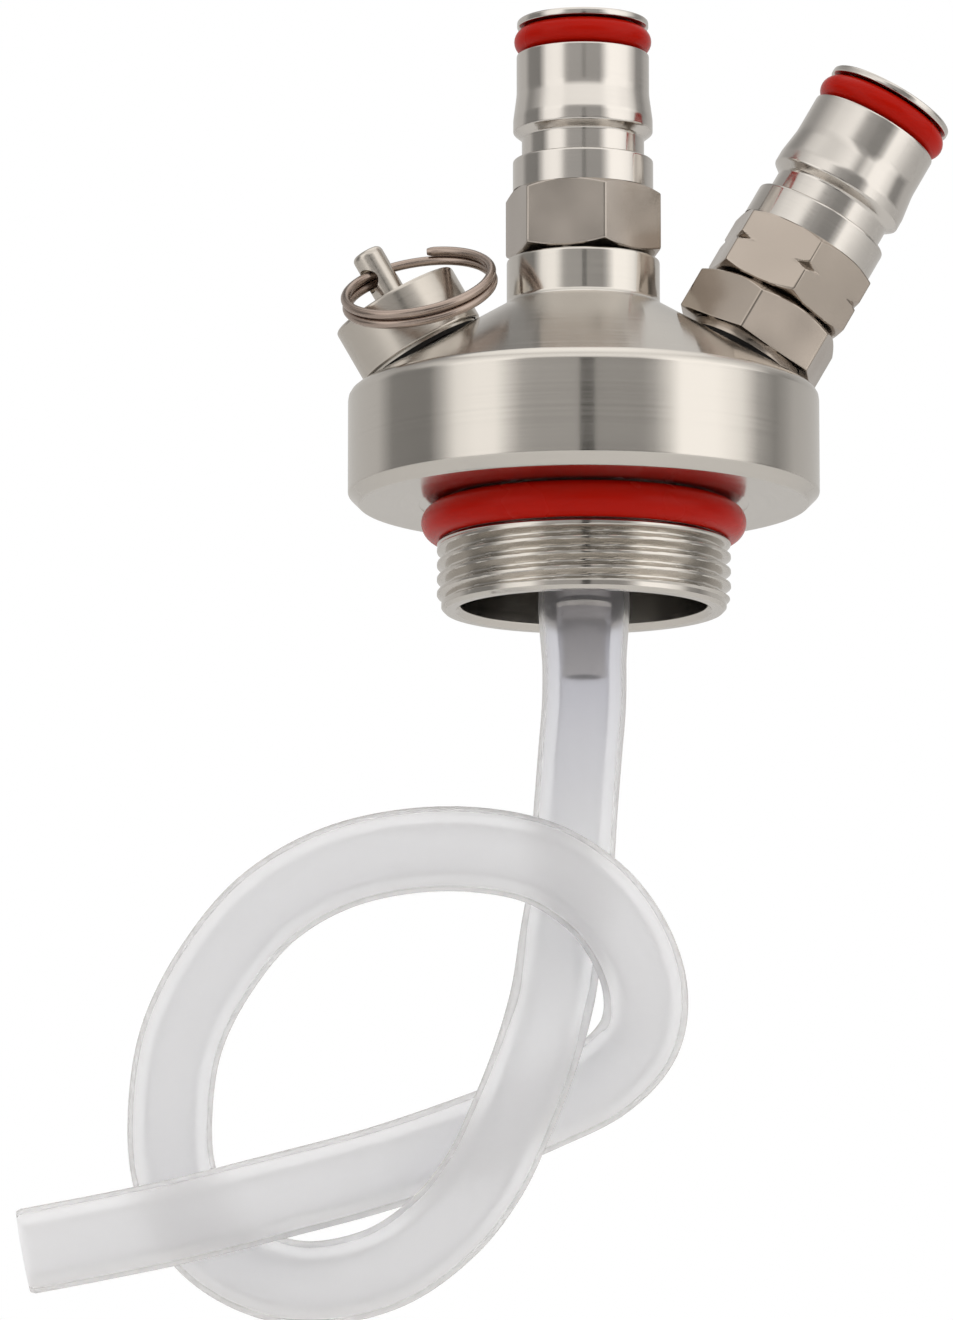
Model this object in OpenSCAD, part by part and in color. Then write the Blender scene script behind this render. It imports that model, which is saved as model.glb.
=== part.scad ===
// Mini keg tap: a turned lid that screws into a small keg's neck and carries two ball-lock
// posts, a pull-ring relief valve and a clear pick-up hose. Millimetres, +Z up. The origin is
// on the thread axis, in the plane of the face that seats on the keg. Both side ports lie on
// the X axis: gas on +X, relief valve on -X.

/* [Lid] */
// Outer diameter of the lid's disc
lid_d = 67.5; // [64:0.5:80]
// Height of the disc's upper edge above the seat face
lid_h = 16.5; // [14:0.5:22]
// Slope of the cone, which is also the lean of the two side ports
cone_angle = 30; // [26:1:33]
// Diameter of the boss under the middle post
boss_d = 22; // [21:0.5:26]
// Height of the boss above the cone
boss_h = 6.4; // [4:0.2:12]
// Chamfer round the disc's lower edge
edge_chamfer = 1.6; // [0.5:0.1:3]
// Rounding of the disc's upper edge
edge_round = 0.8; // [0.3:0.1:1.5]
// Height of the hollow under the lid, above the seat face
cavity_h = 10; // [6:0.5:11]

/* [Neck] */
// Outer diameter of the neck's thread
neck_d = 42; // [41:0.5:44]
// Bore of the neck
neck_bore_d = 35.2; // [33:0.2:36]
// Length of the neck below the seat face
neck_len = 15.4; // [12:0.1:24]
// Pitch of the neck's thread
thread_pitch = 2.1; // [1.8:0.1:2.6]
// Depth of the neck's thread
thread_depth = 1.25; // [0.8:0.05:1.4]
// How far the neck's seal ring stands out past the thread
neck_seal_out = 2.25; // [2:0.05:3]
// Height of the neck's seal ring
neck_seal_h = 5.2; // [4.4:0.1:5.6]

/* [Ball-lock posts] */
// Width across flats of a post's hexagon
post_hex_af = 20; // [19:0.1:22]
// Height of a post's hexagon
post_hex_h = 10; // [10:0.5:14]
// Diameter of the ring above the hexagon
post_ring_d = 20.2; // [19:0.1:20.8]
// Height of the ring above the hexagon
post_ring_h = 4.3; // [3:0.1:6]
// Diameter of the groove that the coupler's balls lock into
post_groove_d = 17.6; // [16.4:0.1:18.4]
// Height of the locking groove, without its chamfer
post_groove_h = 3.2; // [2.4:0.1:4]
// Diameter of the widest land, which guides the coupler
post_land_d = 20.1; // [19.9:0.05:20.6]
// Height of the widest land
post_land_h = 1.8; // [1.4:0.1:3]
// Height of the taper above the land
post_taper_h = 3.7; // [2:0.1:5]
// Diameter of the post below its seal
post_top_d = 19.1; // [18.4:0.1:19.8]
// Height of the straight stretch below the seal
post_top_h = 5.9; // [4:0.1:8]
// Outer diameter of the post's seal ring
post_seal_d = 19.8; // [19.4:0.1:19.8]
// Thickness of the post's seal ring
post_seal_section = 3.75; // [3.3:0.05:3.8]
// Diameter of the lip above the seal
post_lip_d = 18.95; // [18:0.05:19.4]
// Height of the lip above the seal
post_lip_h = 1; // [0.6:0.1:2]
// Diameter of the post's mouth
post_mouth_d = 8.4; // [7.6:0.1:9]
// How far a coupler pushes the poppet down
poppet_travel = 3.5; // [1:0.1:4]

/* [Side ports] */
// Distance of the side ports from the lid's axis, on the cone
port_radius = 23; // [22.5:0.1:23.5]
// Width across flats of the gas port's hexagon
gas_hex_af = 20.8; // [19:0.1:22]
// Height of the gas port's hexagon
gas_hex_h = 7.3; // [5:0.1:9]
// Height of the round collar below that hexagon
gas_collar_h = 0.9; // [0.8:0.1:3]

/* [Relief valve] */
// Diameter of the valve's cap
relief_cap_d = 19; // [18.2:0.1:20]
// Height of the valve's cap
relief_cap_h = 7.3; // [7:0.1:9]
// Diameter of the valve's pin
relief_pin_d = 4.6; // [4.4:0.1:4.8]
// Length of pin that stands above the cap
relief_pin_h = 8.1; // [7.8:0.1:12]
// Diameter of the hole across the pin
relief_hole_d = 3.6; // [3.5:0.1:3.7]
// How far the ring can pull the pin out
relief_lift = 2; // [0.5:0.1:2.4]

/* [Pull ring] */
// Outer diameter of the split ring
ring_d = 22.4; // [22:0.1:24]
// Thickness of the split ring's wire
ring_wire_d = 1.2; // [1:0.05:1.25]
// Distance between the middles of the ring's two turns
ring_pitch = 1.62; // [1.62:0.01:1.7]
// Turn of the pin, with its cross hole and its ring
ring_turn = 25; // [0:1:40]
// How far the ring droops below square to the pin, where it rests over the cap
ring_droop = 35.5; // [20:0.5:35.5]

/* [Hose] */
// Outer diameter of the hose
hose_d = 12; // [10:0.1:12]
// Bore of the hose
hose_bore_d = 8; // [7.6:0.1:8.4]
// How far the steel tube reaches below the neck
tube_reach = 9.4; // [4:0.1:12]

/* [Hidden] */
$fn = 96;

// Overrun of a cut past the face that it opens
cut = 1;
// Gap between pieces that move past each other
free_gap = 0.3;
// Radial gap of a screwed or slid joint that stays put
snug = 0.05;
// Chamfer that breaks the edges of turned pieces
edge_break = 0.3;
// Steps in a small rounded edge
round_steps = 4;

// Lid and neck
lid_r = lid_d / 2;
boss_r = boss_d / 2;
neck_r = neck_d / 2;
cone_low_r = lid_r - edge_round;
cone_top_z = lid_h + (cone_low_r - boss_r) * tan(cone_angle);
boss_top_z = cone_top_z + boss_h;
seal_r = neck_seal_h / 2;
seal_middle_r = neck_r + neck_seal_out - seal_r;
seal_top_z = -snug;
// Shallow step over the seal ring, inside the face that seats on the keg
seal_step_h = 0.15;
seal_step_r = neck_r + neck_seal_out + free_gap;
seal_groove_z = seal_top_z - neck_seal_h - free_gap;
// Radius of the neck under the seal ring, which flattens the ring's inner side
seal_floor_r = neck_r - thread_depth - free_gap;
// Width of the flat at the bottom of the thread's grooves
thread_root_w = thread_pitch / 8;
thread_half_w = thread_depth * tan(30) + thread_root_w / 2;
thread_crest_w = thread_pitch - 2 * thread_half_w;
thread_top_z = seal_groove_z - edge_break - thread_crest_w / 2;
// Least height of the plain rim below the thread
rim_min_h = 0.9;
thread_turns = floor((neck_len + thread_top_z - rim_min_h) / thread_pitch);
rim_top_z = thread_top_z - thread_turns * thread_pitch;
rim_r = neck_r - thread_depth / 2;
rim_chamfer = 0.5;
mouth_chamfer = 0.8;

// Male stub that each post screws onto, and the post's bores
stub_d = 15;
stub_h = 8;
post_gap = 0.4;
chamber_d = 12.4;
tube_d = 6.35;
tube_bore_d = 4.6;
tube_hole_d = tube_d + 2 * snug + edge_break / 2;
flange_d = 14;
flange_t = 1.2;
flange_z = stub_h + free_gap;
shoulder_z = flange_z + flange_t;
tube_seal_section = 1.7;
tube_seal_middle_r = tube_d / 2 + snug + tube_seal_section / 2;
tube_seal_r = tube_seal_middle_r + tube_seal_section / 2;
tube_seal_floor_z = flange_z - tube_seal_section - snug;
liquid_base_z = boss_top_z + post_gap;

// Heights up a post from the bottom of its hexagon
ring_top = post_hex_h + post_ring_h;
groove_top = ring_top + post_groove_h;
groove_chamfer_h = 1;
land_low = groove_top + groove_chamfer_h;
land_top = land_low + post_land_h;
taper_top = land_top + post_taper_h;
seal_low = taper_top + post_top_h;
seal_groove_h = post_seal_section + free_gap;
seal_high = seal_low + seal_groove_h;
post_h = seal_high + post_lip_h;
seal_groove_r = post_seal_d / 2 - post_seal_section - snug;
seat_top = seal_low + edge_break;
seat_low = seat_top - (chamber_d - post_mouth_d) / 2;
// Size of the notches that mark a gas post, at half the height of its hexagon
notch_depth = 0.9;
notch_h = 1.4;
// Turn of each hexagon about its own axis
liquid_hex_turn = -18;
gas_hex_turn = -21;
adapter_hex_turn = 20;
// How much of its lower corners the adapter's hexagon has turned away
adapter_low_share = 0.15;

// Poppet, the same in both posts
poppet_pin_d = 3.4;
poppet_recess = 0.8;
poppet_disc_d = chamber_d - 6 * free_gap;
poppet_disc_t = 1.4;
poppet_boss_d = 4;
poppet_boss_h = 4;
poppet_seal_gap = 0.15;
poppet_seal_h = 3;
poppet_seal_top_r = post_mouth_d / 2;
disc_top = seat_top - poppet_seal_gap * sqrt(2) - poppet_seal_h;
disc_low = disc_top - poppet_disc_t;

// Side ports
port_z = cone_top_z - (port_radius - boss_r) * tan(cone_angle);
port_thread_d = 13;
port_thread_h = 9.5;
port_hole_h = 10;
spot_depth = 0.7;
washer_t = 0.6;
washer_top = washer_t - spot_depth;
gas_spot_d = 18;
gas_collar_d = 17;
gas_passage_d = tube_d + 2 * free_gap;
gas_collar_top = washer_top + gas_collar_h;
gas_hex_top = gas_collar_top + gas_hex_h;
gas_base = gas_hex_top + post_gap;
// Length of the gas tube below the spot face, and of the drillings into the hollow
gas_tube_h = 12.3;
passage_h = 17;

// Relief valve, by height above the cone
relief_stub_d = 15.6;
relief_collar_d = 17.4;
relief_collar_h = 1;
relief_spot_d = relief_collar_d + 2 * free_gap;
cap_low = washer_top + relief_collar_h + free_gap;
cap_top = cap_low + relief_cap_h;
cap_wall = 1.6;
cap_bore_d = relief_stub_d + 4 * snug;
cap_inside = cap_top - cap_wall;
// How far the threaded cup reaches up inside the cap, and how thick its bottom is
relief_stub_reach = 3.8;
relief_cup_bottom = 4;
relief_stub_top = cap_low + relief_stub_reach;
relief_bore_d = 9;
relief_floor = -spot_depth - port_thread_h + relief_cup_bottom;
relief_seat_h = 0.4;
relief_seat_d = 6.4;
relief_seat_hole_d = 4.2;
relief_passage_d = 5;
plug_gap = 0.1;
plug_t = 1.3;
plug_d = 7.4;
plug_low = relief_floor + relief_seat_h + plug_gap;
stem_low = plug_low + plug_t;
stem_disc_d = relief_bore_d - 2 * free_gap - plug_gap;
stem_disc_t = 1.4;
stem_disc_top = stem_low + stem_disc_t;
pin_top = cap_top + relief_pin_h;
pin_round = 1.1;
pin_hole_gap = 0.5;
// Height of metal left between the cross hole's middle and the pin's end
hole_below_end = 4.1;
hole_t = pin_top - hole_below_end;

// Pull ring: the angles are seen from above the ring, with the pin's hole at 90
ring_r = (ring_d - ring_wire_d) / 2;
ring_turns = 1.9;
ring_free_end = 49;
ring_hole_at = 90;
// How the ring lies askew in the pin's hole, which is wider than its wire
ring_skew = -7;
ring_roll = 4;
ring_rings_a_turn = 24;
ring_sides = 6;
hole_share = (ring_free_end + 360 - ring_hole_at) / 360;
ring_lift = ring_pitch * (hole_share + 0.5 - ring_turns / 2);

// Springs
spring_rings_a_turn = 8;
spring_sides = 6;
poppet_spring_r = 3.3;
poppet_spring_wire = 0.7;
poppet_spring_turns = 6;
relief_spring_r = 3.35;
relief_spring_wire = 0.8;
relief_spring_turns = 5;
spring_end_gap = 0.1;

// Hose barb, down from the hollow's ceiling
barb_thread_d = 12;
barb_thread_h = 8;
barb_hex_af = 14;
barb_hex_h = 3.5;
barb_shank_d = 8.2;
barb_ridge_d = 9.4;
barb_ridge_h = 2.4;
barb_ridges = 3;
barb_ridge_pitch = 3.2;
// How far the barb ends below the neck
barb_reach = 1.4;
barb_low_z = -neck_len - barb_reach;
tube_low_z = -neck_len - tube_reach;

// Middle line of the hose, from its end on the barb, through a loose overhand knot, to its
// open end
hose_route = [
    [0, 0, -6], [0, 0, -18], [0, 0, -28], [-0.5, 2, -36], [-1, 4.5, -44], [-1.5, 6.5, -53],
    [-3, 5, -62], [-4.5, 1, -70.5], [-7, -4, -79], [-10.5, -6.5, -88], [-14.5, -6, -96.5],
    [-20, -3, -103.5], [-28, 1, -109], [-38, 6, -111], [-46.5, 9.5, -109], [-53.5, 11, -104],
    [-57.5, 10.5, -96.5], [-58.5, 8.5, -87.5], [-57, 6, -76.5], [-52, 3, -66.5],
    [-44.5, -0.5, -58], [-34, -3.5, -52.5], [-21, -6, -50.5], [-8.5, -7.5, -52], [0, -7, -56.5],
    [5.5, -4.5, -62.5], [8.5, -0.5, -69.5], [8, 4.5, -76], [3, 8, -81.5], [-5, 9.5, -85.5],
    [-14.5, 8.5, -89.5], [-29, 3, -95], [-44, -2, -99.5], [-57, -4, -103], [-68.5, -4.5, -105.5],
    [-79, -4, -107.5]
];
hose_sides = 12;
hose_steps = 2;
// Swell of the hose over the barb, and how far below the barb it dies away
hose_swell = 0.45;
hose_swell_end = 6;

steel = "#cfc9c0";
nut_steel = "#a39c92";
ring_steel = "#9a8a80";
silicone_red = "#c4200f";
rubber_black = "#2b2a29";
hose_clear = "#d8d8da";

// Points of an arc about a middle point
function arc(x, y, r, from, to) =
    [for (i = [0:round_steps])
        let (a = from + (to - from) * i / round_steps)
        [x + r * cos(a), y + r * sin(a)]];

// Unit vector
function unit(v) = v / norm(v);

// A point on the smooth curve through four route points, between the second and the third
function curve_point(a, b, c, d, t) =
    (2 * b + (c - a) * t + (2 * a - 5 * b + 4 * c - d) * t * t
        + (3 * b - a - 3 * c + d) * t * t * t) / 2;

// The route with extra points on the smooth curve between its own
function smooth(route, steps) =
    let (last = len(route) - 1)
    concat(
        [for (i = [0:last - 1])
            for (k = [0:steps - 1])
                curve_point(route[max(i - 1, 0)], route[i], route[i + 1],
                    route[min(i + 2, last)], k / steps)],
        [route[last]]);

// Direction of a line at one of its points
function heading(line, i) =
    unit(line[min(i + 1, len(line) - 1)] - line[max(i - 1, 0)]);

// The sideways vector of each ring: the one before, laid square to the line again
function sideways(line, i, before) =
    let (along = heading(line, i))
    let (side = unit(before - (before * along) * along))
    i == len(line) - 1 ? [side] : concat([side], sideways(line, i + 1, side));

// Rings of points round a line
function rings_round(line, radii, sides, first_side) =
    let (side = sideways(line, 0, first_side))
    [for (i = [0:len(line) - 1])
        let (up = cross(heading(line, i), side[i]))
        for (k = [0:sides - 1])
            let (a = 360 * k / sides)
            line[i] + radii[i] * (cos(a) * side[i] + sin(a) * up)];

// Triangles of a tube's wall between its rings, facing outwards, or inwards when turned
function wall_faces(rings, sides, first, turned) =
    [for (i = [0:rings - 2])
        for (k = [0:sides - 1])
            let (a = first + i * sides + k)
            let (b = first + i * sides + (k + 1) % sides)
            for (f = [[a, b, b + sides], [a, b + sides, a + sides]])
                turned ? [f[0], f[2], f[1]] : f];

// Triangles that close one end of a solid wire
function cap_faces(sides, first, turned) =
    [for (k = [1:sides - 2])
        turned ? [first, first + k + 1, first + k] : [first, first + k, first + k + 1]];

// Triangles of the flat ring between a hose's outer and inner edge
function rim_faces(sides, outer, inner, turned) =
    [for (k = [0:sides - 1])
        let (n = (k + 1) % sides)
        for (f = [[outer + k, inner + k, inner + n], [outer + k, inner + n, outer + n]])
            turned ? [f[0], f[2], f[1]] : f];

// Middle line of a helix of any number of turns
function helix(r, low, high, turns, from, rings_a_turn) =
    let (steps = ceil(turns * rings_a_turn))
    [for (i = [0:steps])
        let (a = from + 360 * turns * i / steps)
        [r * cos(a), r * sin(a), low + (high - low) * i / steps]];

// Least distance between parts of a line that are further apart than so many of its points
function least_gap(line, apart) =
    min([for (i = [0:len(line) - 1 - apart])
        for (j = [i + apart:len(line) - 1])
            norm(line[i] - line[j])]);

// Frame of the gas port, whose Z is square to the cone
module at_gas_port() {
    translate([port_radius, 0, port_z])
        rotate([0, cone_angle, 0])
            children();
}

// Frame of the relief port, whose Z is square to the cone
module at_relief_port() {
    translate([-port_radius, 0, port_z])
        rotate([0, -cone_angle, 0])
            children();
}

// Ring with a square section
module band(inner_d, outer_d, low, high) {
    rotate_extrude()
        translate([inner_d / 2, low])
            square([(outer_d - inner_d) / 2, high - low]);
}

// Ring with a round section
module o_ring(middle_r, section) {
    rotate_extrude()
        translate([middle_r, 0])
            circle(d = section, $fn = 32);
}

// Hexagon with its corners turned away: wholly at the top, and by a share at the bottom
module turned_hexagon(across_flats, height, low_share = 1) {
    corner_r = across_flats / sqrt(3);
    flat_r = across_flats / 2 - edge_break;
    bevel = (corner_r - flat_r) * tan(30);
    intersection() {
        cylinder(r = corner_r, h = height, $fn = 6);
        rotate_extrude()
            polygon([[0, 0], [corner_r - low_share * (corner_r - flat_r), 0],
                [corner_r, low_share * bevel], [corner_r, height - bevel],
                [flat_r, height], [0, height]]);
    }
}

// Solid wire wound on a helix about Z
module wound_wire(line, wire_d, sides) {
    radii = [for (p = line) wire_d / 2];
    points = rings_round(line, radii, sides, unit([line[0].x, line[0].y, 0]));
    rings = len(line);
    polyhedron(
        points = points,
        faces = concat(
            wall_faces(rings, sides, 0, true),
            cap_faces(sides, 0, false),
            cap_faces(sides, (rings - 1) * sides, true)));
}

// Spring between two seats
module coil_spring(r, wire_d, turns, low, high) {
    inset = wire_d / 2 + spring_end_gap;
    line = helix(r, low + inset, high - inset, turns, 0, spring_rings_a_turn);
    wound_wire(line, wire_d, spring_sides);
}

// Outline of the lid and neck, without their bores
module lid_outline() {
    polygon(concat(
        [[0, -neck_len], [rim_r - rim_chamfer, -neck_len], [rim_r, -neck_len + rim_chamfer],
            [rim_r, rim_top_z]],
        [for (i = [thread_turns - 1:-1:0])
            let (z = thread_top_z - (i + 0.5) * thread_pitch)
            for (p = [[neck_r, -thread_half_w], [neck_r - thread_depth, -thread_root_w / 2],
                [neck_r - thread_depth, thread_root_w / 2], [neck_r, thread_half_w]])
                [p.x, z + p.y]],
        [[neck_r, seal_groove_z - edge_break], [neck_r - edge_break, seal_groove_z],
            [seal_floor_r, seal_groove_z], [seal_floor_r, seal_step_h],
            [seal_step_r, seal_step_h], [seal_step_r, 0], [lid_r - edge_chamfer, 0],
            [lid_r, edge_chamfer]],
        arc(lid_r - edge_round, lid_h - edge_round, edge_round, 0, 90),
        [[boss_r, cone_top_z], [boss_r, boss_top_z - edge_break],
            [boss_r - edge_break, boss_top_z], [stub_d / 2, boss_top_z],
            [stub_d / 2, liquid_base_z + stub_h - edge_break],
            [stub_d / 2 - edge_break, liquid_base_z + stub_h],
            [0, liquid_base_z + stub_h]]));
}

// Countersunk mouth of a stub, where the dip tube's seal lies
module tube_seal_recess() {
    translate([0, 0, tube_seal_floor_z])
        cylinder(r = tube_seal_r + snug, h = tube_seal_section + cut);
}

// Bores of one side port: spot face, threaded hole and drilling into the hollow
module port_bores(spot_d, passage_d) {
    translate([0, 0, -spot_depth])
        cylinder(d = spot_d, h = spot_depth + cut);
    translate([0, 0, -spot_depth - port_hole_h])
        cylinder(d = port_thread_d + 2 * snug, h = port_hole_h + cut);
    translate([0, 0, -passage_h])
        cylinder(d = passage_d, h = passage_h);
}

module lid_body() {
    color(steel)
        difference() {
            rotate_extrude() lid_outline();
            translate([0, 0, -neck_len])
                cylinder(d = neck_bore_d, h = neck_len + cavity_h);
            translate([0, 0, -neck_len - cut])
                cylinder(r1 = neck_bore_d / 2 + mouth_chamfer + cut, r2 = neck_bore_d / 2,
                    h = mouth_chamfer + cut);
            translate([0, 0, cavity_h - cut])
                cylinder(d = barb_thread_d + 2 * snug, h = barb_thread_h + free_gap + cut);
            cylinder(d = tube_hole_d, h = liquid_base_z + stub_h + cut);
            translate([0, 0, liquid_base_z]) tube_seal_recess();
            at_gas_port() port_bores(gas_spot_d, gas_passage_d);
            at_relief_port() port_bores(relief_spot_d, relief_passage_d);
        }
}

module neck_seal() {
    color(silicone_red)
        rotate_extrude()
            intersection() {
                translate([seal_middle_r, seal_top_z - seal_r])
                    circle(r = seal_r, $fn = 48);
                translate([seal_floor_r, seal_top_z - neck_seal_h])
                    square([neck_seal_h, neck_seal_h]);
            }
}

// Ball-lock post, standing on Z = 0; notches in its hexagon mark a gas post
module post(hex_turn, notched) {
    difference() {
        union() {
            rotate([0, 0, hex_turn]) turned_hexagon(post_hex_af, post_hex_h);
            rotate_extrude()
                polygon([[0, edge_break], [post_groove_d / 2, edge_break],
                    [post_ring_d / 2 - edge_break, post_hex_h - edge_break],
                    [post_ring_d / 2, post_hex_h],
                    [post_ring_d / 2, ring_top - edge_break],
                    [post_ring_d / 2 - edge_break, ring_top], [post_groove_d / 2, ring_top],
                    [post_groove_d / 2, groove_top], [post_land_d / 2, land_low],
                    [post_land_d / 2, land_top], [post_top_d / 2, taper_top],
                    [post_top_d / 2, seal_low - edge_break],
                    [post_top_d / 2 - edge_break, seal_low], [seal_groove_r, seal_low],
                    [seal_groove_r, seal_high], [post_lip_d / 2 - edge_break, seal_high],
                    [post_lip_d / 2, seal_high + edge_break],
                    [post_lip_d / 2, post_h - edge_break],
                    [post_lip_d / 2 - edge_break, post_h], [0, post_h]]);
        }
        rotate_extrude()
            polygon([[0, -cut], [stub_d / 2 + snug, -cut], [stub_d / 2 + snug, shoulder_z],
                [chamber_d / 2, shoulder_z], [chamber_d / 2, seat_low],
                [post_mouth_d / 2, seat_top], [post_mouth_d / 2, post_h - edge_break],
                [post_mouth_d / 2 + edge_break, post_h],
                [post_mouth_d / 2 + edge_break, post_h + cut], [0, post_h + cut]]);
        if (notched) {
            corner_r = post_hex_af / sqrt(3);
            rotate_extrude()
                polygon([[corner_r - notch_depth, post_hex_h / 2],
                    [corner_r + notch_depth, post_hex_h / 2 - notch_h],
                    [corner_r + notch_depth, post_hex_h / 2 + notch_h]]);
        }
    }
}

// Seal ring in the groove at the top of a post
module post_seal() {
    color(silicone_red)
        translate([0, 0, (seal_low + seal_high) / 2])
            o_ring(post_seal_d / 2 - post_seal_section / 2, post_seal_section);
}

// Poppet pin and disc; the rubber on the disc is a piece of its own
module poppet() {
    color(steel)
        rotate_extrude()
            polygon([[0, disc_low - poppet_boss_h], [poppet_boss_d / 2, disc_low - poppet_boss_h],
                [poppet_boss_d / 2, disc_low], [poppet_disc_d / 2, disc_low],
                [poppet_disc_d / 2, disc_top], [poppet_pin_d / 2, disc_top],
                [poppet_pin_d / 2, post_h - poppet_recess - edge_break],
                [poppet_pin_d / 2 - edge_break, post_h - poppet_recess],
                [0, post_h - poppet_recess]]);
}

// Rubber cone that the spring holds against the post's seat
module poppet_seal() {
    color(rubber_black)
        rotate_extrude()
            polygon([[poppet_pin_d / 2, disc_top], [poppet_disc_d / 2, disc_top],
                [poppet_disc_d / 2, disc_top + poppet_seal_h
                    - (poppet_disc_d / 2 - poppet_seal_top_r)],
                [poppet_seal_top_r, disc_top + poppet_seal_h],
                [poppet_pin_d / 2, disc_top + poppet_seal_h]]);
}

module poppet_spring() {
    color(steel)
        coil_spring(poppet_spring_r, poppet_spring_wire, poppet_spring_turns, shoulder_z, disc_low);
}

// Steel tube with a flange that the post clamps; reach is its length below the post
module dip_tube(reach) {
    color(steel)
        difference() {
            union() {
                translate([0, 0, flange_z]) cylinder(d = flange_d, h = flange_t);
                translate([0, 0, -reach]) cylinder(d = tube_d, h = reach + shoulder_z);
            }
            translate([0, 0, -reach - cut])
                cylinder(d = tube_bore_d, h = reach + shoulder_z + 2 * cut);
        }
}

// Small seal under the dip tube's flange
module tube_seal() {
    color(rubber_black)
        translate([0, 0, tube_seal_floor_z + tube_seal_section / 2])
            o_ring(tube_seal_middle_r, tube_seal_section - snug);
}

module at_liquid_post() {
    translate([0, 0, liquid_base_z]) children();
}

module at_gas_post() {
    at_gas_port() translate([0, 0, gas_base]) children();
}

module liquid_post() {
    color(steel) at_liquid_post() post(liquid_hex_turn, false);
}

module liquid_post_seal() {
    at_liquid_post() post_seal();
}

module liquid_poppet() {
    at_liquid_post() poppet();
}

module liquid_poppet_seal() {
    at_liquid_post() poppet_seal();
}

module liquid_poppet_spring() {
    at_liquid_post() poppet_spring();
}

module liquid_dip_tube() {
    at_liquid_post() dip_tube(liquid_base_z - tube_low_z);
}

module liquid_tube_seal() {
    at_liquid_post() tube_seal();
}

// Barbed fitting, screwed up into the ceiling of the hollow, that the dip tube runs through
module hose_barb() {
    color(steel)
        difference() {
            union() {
                translate([0, 0, cavity_h]) cylinder(d = barb_thread_d, h = barb_thread_h);
                translate([0, 0, cavity_h - barb_hex_h])
                    turned_hexagon(barb_hex_af, barb_hex_h);
                translate([0, 0, barb_low_z])
                    cylinder(d = barb_shank_d, h = cavity_h - barb_low_z);
                for (i = [0:barb_ridges - 1])
                    translate([0, 0, barb_low_z + i * barb_ridge_pitch])
                        cylinder(d1 = barb_shank_d, d2 = barb_ridge_d, h = barb_ridge_h);
            }
            translate([0, 0, barb_low_z - cut])
                cylinder(d = tube_d + 2 * snug,
                    h = cavity_h + barb_thread_h - barb_low_z + 2 * cut);
        }
}

module beer_hose() {
    line = smooth(hose_route, hose_steps);
    swell = [for (p = line)
        hose_swell * max(0, min(1, 1 - (barb_low_z - p.z) / hose_swell_end))];
    outer = [for (s = swell) hose_d / 2 + s];
    inner = [for (s = swell) hose_bore_d / 2 + s];
    rings = len(line);
    inside = rings * hose_sides;
    last = (rings - 1) * hose_sides;
    color(hose_clear)
        polyhedron(
            points = concat(
                rings_round(line, outer, hose_sides, [1, 0, 0]),
                rings_round(line, inner, hose_sides, [1, 0, 0])),
            faces = concat(
                wall_faces(rings, hose_sides, 0, true),
                wall_faces(rings, hose_sides, inside, false),
                rim_faces(hose_sides, 0, inside, true),
                rim_faces(hose_sides, last, inside + last, false)));
}

// Hexagon fitting in the gas port, whose stub carries the gas post
module gas_adapter() {
    color(nut_steel)
        at_gas_port()
            difference() {
                union() {
                    translate([0, 0, -spot_depth - port_thread_h])
                        cylinder(d = port_thread_d, h = port_thread_h + washer_t + cut);
                    translate([0, 0, washer_top])
                        cylinder(d = gas_collar_d, h = gas_collar_h + edge_break);
                    translate([0, 0, gas_collar_top])
                        rotate([0, 0, adapter_hex_turn])
                            turned_hexagon(gas_hex_af, gas_hex_h, adapter_low_share);
                    translate([0, 0, gas_hex_top - edge_break])
                        cylinder(d = stub_d, h = post_gap + stub_h + edge_break);
                }
                translate([0, 0, -spot_depth - port_thread_h - cut])
                    cylinder(d = tube_hole_d,
                        h = spot_depth + port_thread_h + gas_base + stub_h + 2 * cut);
                translate([0, 0, gas_base]) tube_seal_recess();
            }
}

module gas_adapter_washer() {
    color(rubber_black)
        at_gas_port() band(port_thread_d + 2 * snug, gas_collar_d, -spot_depth, washer_top);
}

module gas_post() {
    color(nut_steel) at_gas_post() post(gas_hex_turn, true);
}

module gas_post_seal() {
    at_gas_post() post_seal();
}

module gas_poppet() {
    at_gas_post() poppet();
}

module gas_poppet_seal() {
    at_gas_post() poppet_seal();
}

module gas_poppet_spring() {
    at_gas_post() poppet_spring();
}

module gas_dip_tube() {
    at_gas_post() dip_tube(gas_base + gas_tube_h + spot_depth);
}

module gas_tube_seal() {
    at_gas_post() tube_seal();
}

// Threaded cup in the relief port, with the valve's seat at its bottom
module relief_body() {
    low = -spot_depth - port_thread_h;
    color(nut_steel)
        at_relief_port()
            rotate_extrude()
                polygon([[relief_seat_hole_d / 2, low], [port_thread_d / 2 - edge_break, low],
                    [port_thread_d / 2, low + edge_break], [port_thread_d / 2, washer_top],
                    [relief_collar_d / 2, washer_top],
                    [relief_collar_d / 2, washer_top + relief_collar_h],
                    [relief_stub_d / 2, washer_top + relief_collar_h],
                    [relief_stub_d / 2, relief_stub_top],
                    [relief_bore_d / 2, relief_stub_top], [relief_bore_d / 2, relief_floor],
                    [relief_seat_d / 2, relief_floor],
                    [relief_seat_d / 2, relief_floor + relief_seat_h],
                    [relief_seat_hole_d / 2, relief_floor + relief_seat_h]]);
}

module relief_washer() {
    color(rubber_black)
        at_relief_port() band(port_thread_d + 2 * snug, relief_collar_d, -spot_depth, washer_top);
}

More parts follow.
